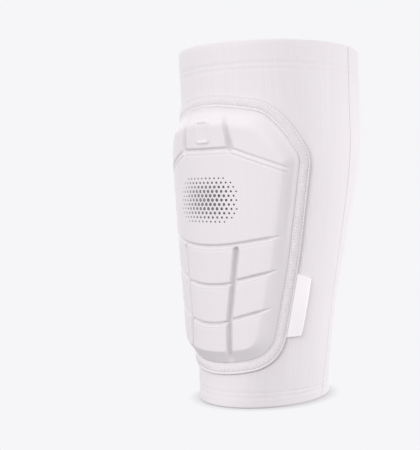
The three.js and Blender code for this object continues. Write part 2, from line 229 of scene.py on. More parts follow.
world = bpy.data.worlds.new("studio")
world.use_nodes = True
world.node_tree.nodes.clear()
graph = Graph(world.node_tree)
toward = graph.take("ShaderNodeTexCoord", output="Generated")
up_share = graph.take("ShaderNodeSeparateXYZ", sockets={0: toward}, output="Z")
stops = [(height, (level, level, level)) for height, level in ROOM_LIGHT]
surround = graph.take("ShaderNodeValToRGB", {"stops": stops}, {0: up_share * 0.5 + 0.5})
room = graph.take("ShaderNodeBackground", sockets={"Color": surround, "Strength": ROOM_STRENGTH})
backdrop = graph.take("ShaderNodeBackground", sockets={"Color": (*PAPER_COLOUR, 1)})
seen = graph.take("ShaderNodeLightPath", output="Is Camera Ray")
background = graph.take("ShaderNodeMixShader", sockets={0: seen, 1: room, 2: backdrop})
graph.node("ShaderNodeOutputWorld", sockets={"Surface": background})
bpy.context.scene.world = world

# Columns: degrees round from the shin, positive towards the camera, degrees above the lamps' aim, distance
# and size in metres, and power in watts.
LAMPS = {
    "key": (14, 20, 1.3, 0.6, 6.6),
    "side": (100, -35, 0.7, 0.2, 0.6),
    "rim": (138, -8, 0.7, 0.2, 2.5),
    "back": (-108, 14, 1.3, 0.6, 5.0),
}
LAMPS_AIM_HEIGHT = 0.11
unlit = {name: bpy.data.collections.new("not lit by " + name) for name in LAMPS}
for name, (round_from_shin, above_aim, distance, size, power) in LAMPS.items():
    lamp_data = bpy.data.lights.new(name, "AREA")
    lamp_data.size = size
    lamp_data.energy = power
    lamp = bpy.data.objects.new(name, lamp_data)
    azimuth = math.radians(round_from_shin)
    elevation = math.radians(above_aim)
    away = math.cos(elevation) * np.array([math.sin(azimuth), -math.cos(azimuth), math.tan(elevation)])
    lamp.location = leg_axis + [0, 0, LAMPS_AIM_HEIGHT] + distance * away
    lamp.rotation_euler = (math.pi / 2 - elevation, 0, azimuth)
    lamp.visible_camera = False
    bpy.context.collection.objects.link(lamp)
    lamp.light_linking.receiver_collection = unlit[name]


def keep_dark(piece, *lamp_names):
    """Keeps the light of some lamps off a piece."""
    for name in lamp_names:
        unlit[name].objects.link(piece)
        unlit[name].collection_objects[-1].light_linking.link_state = "EXCLUDE"


# The sleeve's two panels.
# Ribbed polyester stretch knit in the form of a leg: a front and a calf panel joined by two side seams.
# The ends are turned in and held by two rows of stitches. The ribs fan out from the ankle to the calf.
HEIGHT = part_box("front_panel")[1][2]
CALF_WIDTH = 130 * MM
CALF_DEPTH = 130 * MM
# Columns: share of HEIGHT, half width as a share of CALF_WIDTH, shin and calf as shares of CALF_DEPTH.
LEG_SECTIONS = np.array([
    (0.0, 0.308, 0.415, 0.438),
    (0.12, 0.356, 0.393, 0.392),
    (0.3, 0.404, 0.398, 0.406),
    (0.5, 0.458, 0.408, 0.488),
    (0.7, 0.499, 0.423, 0.58),
    (0.85, 0.497, 0.451, 0.58),
    (1.0, 0.5, 0.481, 0.538),
])
HALF_WIDTH, SHIN, CALF = 1, 2, 3  # the columns by number


def along(column, share):
    """A column of the leg's sections on a smooth curve through the rows."""
    at = LEG_SECTIONS[:, 0]
    value = LEG_SECTIONS[:, column]
    slope = np.empty(len(at))
    slope[1:-1] = (value[2:] - value[:-2]) / (at[2:] - at[:-2])
    slope[0] = (value[1] - value[0]) / (at[1] - at[0])
    slope[-1] = (value[-1] - value[-2]) / (at[-1] - at[-2])
    share = np.clip(share, 0, 1)
    upper = np.clip(np.searchsorted(at, share), 1, len(at) - 1)
    lower = upper - 1
    span = at[upper] - at[lower]
    t = (share - at[lower]) / span
    eased = t * t * (3 - 2 * t)
    bends = t * (1 - t) ** 2 * slope[lower] + t * t * (t - 1) * slope[upper]
    return value[lower] + (value[upper] - value[lower]) * eased + bends * span


def leg_point(angle, height, offset):
    """A point at an angle round from the shin and a height, a distance outside the sleeve's face."""
    angle, height, offset = np.broadcast_arrays(angle, height, offset)
    share = height / HEIGHT
    half_width = along(HALF_WIDTH, share) * CALF_WIDTH
    reach = np.where(np.cos(angle) > 0, along(SHIN, share), along(CALF, share)) * CALF_DEPTH
    outward = np.stack([np.sin(angle) / half_width, -np.cos(angle) / reach], -1)
    outward /= np.linalg.norm(outward, axis=-1, keepdims=True)
    face = np.stack([half_width * np.sin(angle), -reach * np.cos(angle), height], -1)
    face[..., :2] += outward * offset[..., None]
    return face + leg_axis


TABLE_ROWS = 126
TABLE_STEPS = 361
table_heights = np.linspace(0, HEIGHT, TABLE_ROWS)
fan = np.linspace(0, math.pi, TABLE_STEPS)
rings = leg_point(fan[None, :], table_heights[:, None], 0)
arcs = np.zeros((TABLE_ROWS, TABLE_STEPS))
arcs[:, 1:] = np.cumsum(np.linalg.norm(np.diff(rings, axis=1), axis=-1), axis=1)
half_girth = arcs[:, -1]
table_shares = np.linspace(0, 1, TABLE_STEPS)
angle_table = np.array([np.interp(table_shares, row / row[-1], fan) for row in arcs])


def angle_of(arc, height):
    """The angle at which a length of cloth, measured round the leg from the shin line, ends."""
    arc, height = np.broadcast_arrays(np.asarray(arc, float), np.asarray(height, float))
    row = np.clip(height / HEIGHT, 0, 1) * (TABLE_ROWS - 1)
    low = np.minimum(row.astype(int), TABLE_ROWS - 2)
    up = row - low
    girth = half_girth[low] * (1 - up) + half_girth[low + 1] * up
    column = np.clip(np.abs(arc) / girth, 0, 1) * (TABLE_STEPS - 1)
    left = np.minimum(column.astype(int), TABLE_STEPS - 2)
    on = column - left
    lower = angle_table[low, left] * (1 - on) + angle_table[low, left + 1] * on
    upper = angle_table[low + 1, left] * (1 - on) + angle_table[low + 1, left + 1] * on
    return np.sign(arc) * (lower * (1 - up) + upper * up)


def cloth_point(place, offset):
    """A point over the cloth. A place is a length round from the shin line, then a height."""
    arc = place[..., 0]
    height = place[..., 1]
    return leg_point(angle_of(arc, height), height, offset)


KNIT_THICKNESS = 1.5 * MM
HEM_THICKNESS = 2.8 * MM
TOP_HEM_DEPTH = 19.5 * MM
BOTTOM_HEM_DEPTH = 11 * MM
TOP_STITCH_ROWS = (HEIGHT - 15.5 * MM, HEIGHT - 19.5 * MM)
BOTTOM_STITCH_ROWS = (7.5 * MM, 10.5 * MM)
STITCH_DENT = 0.22 * MM
STITCH_DENT_WIDTH = 0.8 * MM
SEAM_ANGLE_TOP = math.radians(102)
SEAM_ANGLE_BOTTOM = math.radians(110)
SEAM_GAP = 0.05 * MM
SEAM_ROLL = 2.2 * MM  # how far in from its cut edge the cloth begins to turn into the seam
SEAM_DEPTH = 0.5 * MM
SEAM_DEPTH_AT_HEM = 0.9 * MM
SEAM_ALLOWANCE = 4 * MM
SEAM_BULK = 0.8 * MM
RIB_WIDTH = 1.3 * MM  # at the calf
RIB_DEPTH = 0.09 * MM
COLUMNS_PER_RIB = 3
FOLD_STEPS = 4
BODY_ROW = 5 * MM
HEM_ROW = 0.8 * MM
HEM_ROWS_PAST = 3 * MM  # how far past a hem's turned edge the close rows go on
TOP_ROWS_ABOVE = 7 * MM  # how far above the top hem's turned edge they reach, past both rows of stitches
LAST_ROWS = 4
HEM_EDGE_SLOPE = 1 * MM


def wall_heights():
    """The heights of the wall's rows between its two folds, close together where the hems are stitched."""
    fold = HEM_THICKNESS / 2
    turned_edge = HEIGHT - TOP_HEM_DEPTH
    hem_low = np.arange(fold, BOTTOM_HEM_DEPTH + HEM_ROWS_PAST, HEM_ROW)
    hem_high = np.arange(turned_edge - HEM_ROWS_PAST, turned_edge + TOP_ROWS_ABOVE, HEM_ROW)
    steps = round((hem_high[0] - hem_low[-1]) / BODY_ROW)
    body = np.linspace(hem_low[-1], hem_high[0], steps + 1)[1:-1]
    last = np.linspace(hem_high[-1], HEIGHT - fold, LAST_ROWS + 1)[1:]
    return np.concatenate([hem_low, body, hem_high, last])


def wall_profile():
    """Height and offset of the outer face and of the inner one, from the bottom fold to the top one."""
    fold = HEM_THICKNESS / 2
    turn = np.linspace(0, math.pi / 2, FOLD_STEPS + 1)[:-1]
    heights = wall_heights()
    outer = np.zeros(len(heights))
    for row in (*TOP_STITCH_ROWS, *BOTTOM_STITCH_ROWS):
        outer -= STITCH_DENT * np.exp(-(((heights - row) / STITCH_DENT_WIDTH) ** 2))
    above_low_hem = heights > BOTTOM_HEM_DEPTH + HEM_EDGE_SLOPE
    below_top_hem = heights < HEIGHT - TOP_HEM_DEPTH - HEM_EDGE_SLOPE
    inner = np.where(above_low_hem & below_top_hem, -KNIT_THICKNESS, -HEM_THICKNESS)
    low = fold * (1 - np.cos(turn))
    round_out = fold * (np.sin(turn) - 1)
    round_in = -fold * (np.sin(turn) + 1)
    height = np.concatenate([low, heights, HEIGHT - low[::-1]])
    outer = np.concatenate([round_out, outer, round_out[::-1]])
    return height, outer, np.concatenate([round_in, inner, round_in[::-1]])


def seam_angle(height):
    return SEAM_ANGLE_BOTTOM + (SEAM_ANGLE_TOP - SEAM_ANGLE_BOTTOM) * height / HEIGHT


CALF_AT = 0.7  # of HEIGHT, where the leg is widest
HEM_BLEND = 4 * MM
RIBS_FROM = 0.6  # of SEAM_ROLL in from the seam, where the ribs begin


def add_attribute(mesh, name, values, kind="FLOAT"):
    """Gives each point of a mesh a number or a direction."""
    attribute = mesh.attributes.new(name, kind, "POINT")
    field = "value" if kind == "FLOAT" else "vector"
    attribute.data.foreach_set(field, np.asarray(values, np.float32).ravel())


def add_uv(mesh, values):
    """A UV map that holds, for each point, two values that the material reads."""
    corner = np.empty(len(mesh.loops), np.int64)
    mesh.loops.foreach_get("vertex_index", corner)
    layer = mesh.uv_layers.new(name="cloth")
    layer.data.foreach_set("uv", np.asarray(values, np.float32)[corner].ravel())


def knit_panel(name, middle, half_span_at):
    """A closed wall of knit from seam to seam, with a point attribute that counts its ribs."""
    height, outer, inner = wall_profile()
    rows = len(height)
    ribs = round(half_span_at(HEIGHT * CALF_AT) * CALF_WIDTH / RIB_WIDTH)
    columns = ribs * COLUMNS_PER_RIB + 1
    share = np.linspace(-1, 1, columns)
    angle = middle + half_span_at(height)[:, None] * share[None, :]
    local = np.linalg.norm(np.diff(leg_point(angle, height[:, None], 0), axis=1), axis=-1)
    from_left = np.concatenate([np.zeros((rows, 1)), np.cumsum(local, axis=1)], axis=1)
    from_edge = np.minimum(from_left, from_left[:, -1:] - from_left)
    roll = np.clip(1 - from_edge / SEAM_ROLL, 0, 1)
    in_hem = np.clip((height - HEIGHT + TOP_HEM_DEPTH) / HEM_BLEND, 0, 1)[:, None]
    sunk = (SEAM_DEPTH + (SEAM_DEPTH_AT_HEM - SEAM_DEPTH) * in_hem) * (1 - np.sqrt(1 - roll**2))
    bulk = SEAM_BULK * np.clip((SEAM_ALLOWANCE - from_edge) / MM, 0, 1)
    outer_points = leg_point(angle, height[:, None], outer[:, None] - sunk)
    inner_points = leg_point(angle, height[:, None], inner[:, None] - bulk)
    count = rows * columns
    faces = grid_faces(rows, columns) + grid_faces(rows, columns, count, turned=True)
    for row in range(rows - 1):
        start = row * columns
        above = start + columns
        faces.append([start, above, above + count, start + count])
        start += columns - 1
        above += columns - 1
        faces.append([start, start + count, above + count, above])
    mesh = mesh_of(name, np.stack([outer_points, inner_points]), faces)
    rib_count = np.tile((share + 1) / 2 * ribs, 2 * rows)
    outside = np.clip(from_edge / SEAM_ROLL - RIBS_FROM, 0, 1)
    add_attribute(mesh, "rib", rib_count)
    add_attribute(mesh, "outside", np.stack([outside, 0 * outside]))
    add_uv(mesh, np.stack([rib_count, np.tile(np.repeat(height, columns), 2) / MM], -1))
    return mesh


def weld(mesh, distance=0.02 * MM):
    """Joins the points that two sheets share, so that the mesh is closed."""
    work = bmesh.new()
    work.from_mesh(mesh)
    bmesh.ops.remove_doubles(work, verts=work.verts, dist=distance)
    work.to_mesh(mesh)
    work.free()
    mesh.shade_smooth()


def node_tree(name, *sizes):
    """A geometry tree with a geometry in and out and one named input for each size."""
    tree = bpy.data.node_groups.new(name, "GeometryNodeTree")
    tree.interface.new_socket("Geometry", in_out="INPUT", socket_type="NodeSocketGeometry")
    tree.interface.new_socket("Geometry", in_out="OUTPUT", socket_type="NodeSocketGeometry")
    for size in sizes:
        tree.interface.new_socket(size, in_out="INPUT", socket_type="NodeSocketFloat")
    graph = Graph(tree)
    entry = tree.nodes.new("NodeGroupInput")
    wires = {size: Wire(graph, entry.outputs[size]) for size in sizes}
    return graph, Wire(graph, entry.outputs["Geometry"]), wires


def finish_nodes(graph, geometry, material, piece, **sizes):
    """Closes the tree, sets its sizes and leaves the piece with the plain mesh that it makes."""
    real = graph.take("GeometryNodeRealizeInstances", sockets={"Geometry": geometry})
    dressed = graph.take("GeometryNodeSetMaterial", sockets={"Geometry": real, "Material": material})
    graph.node("NodeGroupOutput", sockets={"Geometry": dressed})
    modifier = piece.modifiers.new("nodes", "NODES")
    modifier.node_group = graph.tree
    for item in graph.tree.interface.items_tree:
        if item.in_out == "INPUT" and item.name in sizes:
            modifier[item.identifier] = sizes[item.name]
    evaluated = piece.evaluated_get(bpy.context.evaluated_depsgraph_get())
    mesh = bpy.data.meshes.new_from_object(evaluated)
    piece.modifiers.clear()
    piece.data = mesh
    mesh.shade_smooth()


def named(graph, name, kind="FLOAT"):
    return graph.take("GeometryNodeInputNamedAttribute", {"data_type": kind}, {"Name": name})


def raise_ribs(piece, material):
    """Raises the knit's ribs on the outside of a panel."""
    graph, geometry, size = node_tree("knit ribs", "depth")
    lift = (named(graph, "rib").wave() - 1) * 0.5 * size["depth"] * named(graph, "outside")
    offset = graph.scaled(graph.take("GeometryNodeInputNormal"), lift)
    raised = graph.take("GeometryNodeSetPosition", sockets={"Geometry": geometry, "Offset": offset})
    finish_nodes(graph, raised, material, piece, depth=RIB_DEPTH)


KNIT_COLOUR = (0.885, 0.84, 0.87)
KNIT_DARK_TONE_AND_VALLEY_SHADE = (0.80, 0.755, 0.785)
KNIT_RIB_SHADE = 0.26  # painted shade, from a rib's ridge to its valley
KNIT_BUMP = 0.4
WALES_PER_RIB = 2
COURSES_PER_MM = 1.4
LOOP_LEAN = 0.8  # of a course, from a wale's edge to its middle
LOOP_HEIGHT = 0.15 * MM
# Faint streaks run along the knit, and fainter clouds lie over it.
STREAKS_PER_RIB = 0.9
STREAKS_PER_MM = 0.012
STREAK_SHARE = 0.9
CLOUDS_PER_METRE = 26.0
CLOUD_SHARE = 0.25
TONE_SHIFT = -0.35
KNIT_ROUGHNESS = 0.86
RIB_POLISH = 0.08


def cloth_uv(graph):
    """The two values of the piece's UV map."""
    place = graph.take("ShaderNodeUVMap", {"uv_map": "cloth"})
    split = graph.node("ShaderNodeSeparateXYZ", sockets={0: place})
    return Wire(graph, split.outputs[0]), Wire(graph, split.outputs[1])


def knit_material(name, colour, dark_tone_and_valley_shade, rib_shade, bump, groove_and_edge_shade=None):
    """Stretch knit with painted shade in its rib valleys. The UV map counts ribs and millimetres."""
    material, graph = new_material(name)
    across, up = cloth_uv(graph)
    rib = across.wave() * 0.5 + 0.5
    wale = (across * WALES_PER_RIB).wave()
    lean = (across * WALES_PER_RIB).math("FRACT") - 0.5
    loop = (up * COURSES_PER_MM + lean.math("ABSOLUTE") * LOOP_LEAN).wave("SINE")
    lengthwise = {0: across * STREAKS_PER_RIB, 1: up * STREAKS_PER_MM}
    streak = graph.noise(graph.take("ShaderNodeCombineXYZ", sockets=lengthwise), 1.0, 3.0, 0.6)
    cloud = graph.noise(graph.place(), CLOUDS_PER_METRE, 2.0)
    # The tone sinks into painted shade in the rib valleys, and streaks and clouds vary it at random.
    tone = (rib * rib_shade + streak * STREAK_SHARE + cloud * CLOUD_SHARE + TONE_SHIFT).clamped()
    shade = graph.mix(tone, dark_tone_and_valley_shade, colour)
    # Where a point attribute asks for it, painted shade: on the pad, in its grooves and at its edge.
    if groove_and_edge_shade:
        shade = graph.mix(graph.attribute("groove_and_edge_shade"), shade, groove_and_edge_shade)
    sockets = {
        "Base Color": shade,
        "Roughness": KNIT_ROUGHNESS - rib * RIB_POLISH,
        "Normal": graph.bump(bump, LOOP_HEIGHT, wale * 0.5 + loop * 0.35),
        "Sheen Weight": 0.25,
        "Sheen Roughness": 0.5,
        "Specular IOR Level": 0.3,
    }
    close_material(graph, sockets)
    return material


# Flat girths in metres: worn knit is stretched, so they are less than what the panels cover.
FRONT_FLAT_GIRTH = 0.222
BACK_FLAT_GIRTH = 0.158
knit = knit_material("ribbed knit", KNIT_COLOUR, KNIT_DARK_TONE_AND_VALLEY_SHADE, KNIT_RIB_SHADE, KNIT_BUMP)
half_gap = SEAM_GAP / CALF_WIDTH
panels = (
    ("knit_front", "front_panel", FRONT_FLAT_GIRTH, 0.0, lambda z: seam_angle(z) - half_gap),
    ("knit_back", "back_panel", BACK_FLAT_GIRTH, math.pi, lambda z: math.pi - seam_angle(z) - half_gap),
)
for name, node, girth, middle, half_span_at in panels:
    piece = object_of(name, knit_panel(name, middle, half_span_at))
    weld(piece.data)
    raise_ribs(piece, knit)
    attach(piece, "root")
    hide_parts(node)
    keep_dark(piece, "side")


# The hem stitches.
# Two rows of straight polyester stitches at each end hold the turned edge of the knit.
THREAD_COLOUR = (0.94, 0.895, 0.925)
THREAD_SHADE = tuple(0.86 * value for value in THREAD_COLOUR)
TWISTS_PER_METRE = 1800.0
THREAD_RADIUS = 0.2 * MM
HEM_STITCH = 2.6 * MM
HEM_STITCH_SHARE = 0.86  # of a stitch's pitch that its thread covers
STITCH_FLATNESS = 0.75
HEM_LINE_STEPS = 360


def thread_material():
    material, graph = new_material("sewing thread")
    twist = graph.take(
        "ShaderNodeTexWave",
        {"bands_direction": "DIAGONAL"},
        {"Vector": graph.place(), "Scale": TWISTS_PER_METRE, "Distortion": 0.6},
        output="Fac",
    )
    sockets = {
        "Base Color": graph.mix(twist * 0.5, THREAD_SHADE, THREAD_COLOUR),
        "Roughness": 0.55,
        "Normal": graph.bump(0.4, 0.05 * MM, twist),
        "Sheen Weight": 0.2,
    }
    close_material(graph, sockets)
    return material


thread = thread_material()


def path_mesh(name, points, up, across=None):
    """A line of points, closed on itself, that carries the cloth's normal and the way across the line."""
    count = len(points)
    mesh = bpy.data.meshes.new(name)
    edges = [(index, (index + 1) % count) for index in range(count)]
    mesh.from_pydata(points.tolist(), edges, [])
    add_attribute(mesh, "up", up, "FLOAT_VECTOR")
    if across is not None:
        add_attribute(mesh, "across", across, "FLOAT_VECTOR")
    return mesh


def repeated(graph, points, instance, turn, scale):
    """A copy of an instance at each point."""
    sockets = {"Points": points, "Instance": instance, "Rotation": turn, "Scale": scale}
    return graph.take("GeometryNodeInstanceOnPoints", sockets=sockets)


def stitch_row(piece, material, stitch, length_share, radius):
    """Turns a line into a row of short straight stitches, each sunk a little at its ends."""
    graph, geometry, size = node_tree("stitch row", "stitch", "length", "radius")
    curve = graph.take("GeometryNodeMeshToCurve", sockets={"Mesh": geometry})
    pitch = {"Curve": curve, "Length": size["stitch"]}
    spaced = graph.take("GeometryNodeResampleCurve", {"mode": "LENGTH"}, pitch)
    bead = graph.take("GeometryNodeMeshUVSphere", sockets={"Segments": 6, "Rings": 6, "Radius": 1.0})
    tangent = graph.take("GeometryNodeInputTangent")
    turn = graph.take("FunctionNodeAlignRotationToVector", {"axis": "Z"}, {"Vector": tangent})
    turn = graph.take(
        "FunctionNodeAlignRotationToVector",
        {"axis": "X", "pivot_axis": "Z"},
        {"Rotation": turn, "Vector": named(graph, "up", "FLOAT_VECTOR")},
    )
    radii = {0: size["radius"] * STITCH_FLATNESS, 1: size["radius"], 2: size["length"] * 0.5}
    placed = repeated(graph, spaced, bead, turn, graph.take("ShaderNodeCombineXYZ", sockets=radii))
    finish_nodes(graph, placed, material, piece, stitch=stitch, length=stitch * length_share, radius=radius)


def sewn_rows(name, lines, stitch, length_share, radius):
    """One object with a row of stitches along each line."""
    work = bmesh.new()
    for points, up in lines:
        row = object_of(name + "_row", path_mesh(name + "_row", points, up))
        stitch_row(row, thread, stitch, length_share, radius)
        work.from_mesh(row.data)
        bpy.data.objects.remove(row)
    for face in work.faces:
        face.material_index = 0
    mesh = bpy.data.meshes.new(name)
    work.to_mesh(mesh)
    work.free()
    mesh.shade_smooth()
    return object_of(name, mesh, thread)


around = np.linspace(-math.pi, math.pi, HEM_LINE_STEPS + 1)[:-1]
hem_lines = []
for row_height in (*TOP_STITCH_ROWS, *BOTTOM_STITCH_ROWS):
    up = (leg_point(around, row_height, MM) - leg_point(around, row_height, 0.0)) / MM
    hem_lines.append((leg_point(around, row_height, -STITCH_DENT), up))
hem_stitches = sewn_rows("hem_stitches", hem_lines, HEM_STITCH, HEM_STITCH_SHARE, THREAD_RADIUS)
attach(hem_stitches, "root")
keep_dark(hem_stitches, "side")


# The border.
# A flat knitted band, 8 mm wide, that covers the edge of the pad's cover and holds it to the sleeve.
# It runs in one loop round the pad, and its two needle rows draw it in a little.
PAD_WIDTH = 143 * MM
PAD_HEIGHT = 192 * MM
PAD_FOOT_HEIGHT = 22 * MM
BORDER_WIDTH = 8 * MM
BORDER_THICKNESS = 1.5 * MM
CLEARANCE = 0.3 * MM
# Corners of the right half, from the foot's middle to the top's middle. Columns: reach as a share of half of
# PAD_WIDTH, height as a share of PAD_HEIGHT above the foot, and rounding as a share of half of PAD_WIDTH.
PAD_CORNERS = np.array([
    (0, -0.009, 0.32),
    (0.672, 0.042, 0.31),
    (0.86, 0.385, 0.35),
    (1.015, 0.788, 0.11),
    (0.853, 0.892, 0.14),
    (0.63, 0.977, 0.14),
    (0, 1.012, 0.3),
])
CORNER_STEPS = 16
FOOT_ZONE = 20 * MM  # the outline's first point is the middlemost one below this height over the foot


def pad_place(reach, at):
    return np.array([reach * PAD_WIDTH / 2, PAD_FOOT_HEIGHT + at * PAD_HEIGHT])


def spaced_line(line, count, closed=False):
    """The same line with its points evenly spaced."""
    if closed:
        line = np.concatenate([line, line[:1]])
    run = np.concatenate([[0], np.cumsum(np.linalg.norm(np.diff(line, axis=0), axis=1))])
    at = np.linspace(0, run[-1], count + 1 if closed else count)
    out = np.stack([np.interp(at, run, line[:, axis]) for axis in range(line.shape[1])], -1)
    return out[:-1] if closed else out


def pad_outline(count):
    """The pad's outline in arc and height, anticlockwise from the foot's middle."""
    left = PAD_CORNERS[-2:0:-1] * [-1, 1, 1]
    corners = np.concatenate([PAD_CORNERS, left])
    places = np.array([pad_place(reach, at) for reach, at, _ in corners])
    t = np.linspace(0, 1, CORNER_STEPS)[:, None]
    line = []
    for index, point in enumerate(places):
        before = places[index - 1] - point
        after = places[(index + 1) % len(places)] - point
        size = corners[index, 2] * PAD_WIDTH / 2
        start = point + before / np.linalg.norm(before) * size
        end = point + after / np.linalg.norm(after) * size
        line.append((1 - t) ** 2 * start + 2 * t * (1 - t) * point + t**2 * end)
    line = np.concatenate(line)
    foot = np.argmin(np.where(line[:, 1] < places[0][1] + FOOT_ZONE, np.abs(line[:, 0]), 1))
    return spaced_line(np.roll(line, -foot, axis=0), count, closed=True)


def inward(line):
    """Unit directions into a closed anticlockwise line, at each of its points."""
    run = np.roll(line, -1, axis=0) - np.roll(line, 1, axis=0)
    run /= np.linalg.norm(run, axis=1, keepdims=True)
    return np.stack([-run[:, 1], run[:, 0]], -1)


def inset(line, distance):
    return line + inward(line) * distance


ZIGZAG_PITCH = 2.2 * MM
ZIGZAG_OUTER = 1.5 * MM  # from the band's outer edge
ZIGZAG_INNER = 6.3 * MM
NEEDLE_DENT = 0.35 * MM
NEEDLE_DENT_WIDTH = 0.4 * MM
NEEDLE_DENT_SWING = 0.45  # each needle row is deepest at its holes, by this share either side of the mean
BORDER_STEPS = 1500
OUTER_ROUNDING = 0.4 * MM
INNER_ROUNDING = 0.3 * MM
ROUNDING_POINTS = 4
ROWS_ACROSS = 16

outline = pad_outline(BORDER_STEPS)
border_length = np.linalg.norm(np.roll(outline, -1, axis=0) - outline, axis=1).sum()
zigzags = round(border_length / ZIGZAG_PITCH)


def border_profile():
    """Distance in from the band's outer edge and offset over the sleeve, round the band's section."""
    top = CLEARANCE + BORDER_THICKNESS
    turn = np.linspace(0, math.pi / 2, ROUNDING_POINTS)
    in_from_edge = 1 - np.cos(turn)
    below_top = 1 - np.sin(turn)
    across = np.linspace(OUTER_ROUNDING, BORDER_WIDTH - INNER_ROUNDING, ROWS_ACROSS + 2)[1:-1]
    inner_in = BORDER_WIDTH - INNER_ROUNDING * in_from_edge[::-1]
    distance = np.concatenate([[0], OUTER_ROUNDING * in_from_edge, across, inner_in, [BORDER_WIDTH]])
    outer_top = top - OUTER_ROUNDING * below_top
    inner_top = top - INNER_ROUNDING * below_top[::-1]
    offset = np.concatenate([[CLEARANCE], outer_top, np.full(len(across), top), inner_top, [CLEARANCE]])
    return distance, offset


distance, offset = border_profile()
step = np.arange(BORDER_STEPS)
phase = step / BORDER_STEPS * zigzags * 2 * math.pi
dent = np.zeros((len(distance), BORDER_STEPS))
for row, shift in ((ZIGZAG_OUTER, 0.0), (ZIGZAG_INNER, math.pi)):
    near = NEEDLE_DENT * np.exp(-(((distance - row) / NEEDLE_DENT_WIDTH) ** 2))
    dent += near[:, None] * (1 - NEEDLE_DENT_SWING + NEEDLE_DENT_SWING * np.cos(phase + shift))
dent *= (offset > CLEARANCE + BORDER_THICKNESS / 2)[:, None]
points = [
    cloth_point(inset(outline, from_edge), lift - sunk)
    for from_edge, lift, sunk in zip(distance, offset, dent)
]
inner_edge = (len(distance) - 1) * BORDER_STEPS + step
underside = np.stack([inner_edge, np.roll(inner_edge, -1), np.roll(step, -1), step], -1).tolist()
border_faces = grid_faces(len(distance), BORDER_STEPS, looped=True) + underside
border_mesh = mesh_of("border_band", points, border_faces)
band_run = step / BORDER_STEPS * border_length / MM
add_uv(border_mesh, np.stack([np.tile(band_run, len(distance)), np.repeat(distance / MM, BORDER_STEPS)], -1))
# How deep each point sits in a needle dent; the band's material paints shade there.
add_attribute(border_mesh, "needle_dent_share", dent / NEEDLE_DENT)

BORDER_COLOUR = (0.95, 0.905, 0.935)
BORDER_SHADE = (0.89, 0.845, 0.875)
# The colour of the painted shade in the band's needle holes and along its edges.
PAINTED_BAND_SHADE = (0.62, 0.575, 0.605)
EDGE_SHADE = 0.8  # of the band's painted shade colour, painted in the crease at its turned outer edge
EDGE_SHADE_WIDTH = 1.1  # mm
INNER_SHADE = 0.5  # of the band's painted shade colour, painted where the inner edge dips towards the pad
INNER_SHADE_WIDTH = 1.4  # mm
BAND_WALES_PER_MM = 1.6
BAND_COURSES_PER_MM = 1.5
BAND_LOOP_LEAN = 0.9
BAND_CLOUDS_PER_METRE = 140.0


def border_material():
    """Fine knitted band. The UV map holds millimetres along it and across it."""
    material, graph = new_material("border band")
    run, aside = cloth_uv(graph)
    lean = (aside * BAND_WALES_PER_MM).math("FRACT") - 0.5
    loop = (run * BAND_COURSES_PER_MM + lean.math("ABSOLUTE") * BAND_LOOP_LEAN).wave("SINE")
    wale = (aside * BAND_WALES_PER_MM).wave()
    cloud = graph.noise(graph.place(), BAND_CLOUDS_PER_METRE, 3.0)
    tone = (cloud * 1.1 + wale * 0.12 + loop * 0.08 - 0.05).clamped()
    # Painted shade in the needle holes, in the crease at the outer edge and along the inner edge.
    hole_shade = graph.attribute("needle_dent_share").math("POWER", 2.0)
    edge = (1 - (aside / EDGE_SHADE_WIDTH).math("MINIMUM", 1)) * EDGE_SHADE
    inner = ((aside - (BORDER_WIDTH / MM - INNER_SHADE_WIDTH)) / INNER_SHADE_WIDTH).math("MAXIMUM", 0)
    band_shade_share = hole_shade.math("MAXIMUM", edge).math("MAXIMUM", inner * INNER_SHADE)
    sockets = {
        "Base Color": graph.mix(band_shade_share, graph.mix(tone, BORDER_SHADE, BORDER_COLOUR), PAINTED_BAND_SHADE),
        "Roughness": 0.92 - tone * 0.1,
        "Normal": graph.bump(0.4, 0.12 * MM, wale * 0.5 + loop * 0.5),
        "Sheen Weight": 0.2,
        "Specular IOR Level": 0.25,
    }
    close_material(graph, sockets)
    return material


border_band = object_of("border_band", border_mesh, border_material())
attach(border_band, "root")
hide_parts("pad_border")
keep_dark(border_band, "rim", "side")


# The border's stitches.
# A zigzag cover thread between two needle rows, and a short straight stitch between the needle holes.
ZIGZAG_RADIUS = 0.24 * MM
ZIGZAG_LIFT = 0.14 * MM
ZIGZAG_SINK = 0.7 * MM
POINTS_PER_CROSSING = 4  # down in one needle row, up beside it, up beside the other row and down in it
DOWN_AT = 0.5  # of the zigzag's width from its middle
UP_AT = 0.42
NEEDLE_ASIDE = 0.5 * MM  # from the zigzag's turns
NEEDLE_SINK = 0.12 * MM
NEEDLE_RADIUS = 0.22 * MM
NEEDLE_STITCH_SHARE = 0.8


def band_line(from_edge, lift):
    """A line along the band, with the cloth's normal and the way in from the band's outer edge."""
    place = inset(outline, from_edge)
    on_band = CLEARANCE + BORDER_THICKNESS + lift
    points = cloth_point(place, on_band)
    across = cloth_point(inset(outline, from_edge + 0.2 * MM), on_band) - points
    across /= np.linalg.norm(across, axis=1, keepdims=True)
    up = (cloth_point(place, on_band + MM) - points) / MM
    return points, up, across


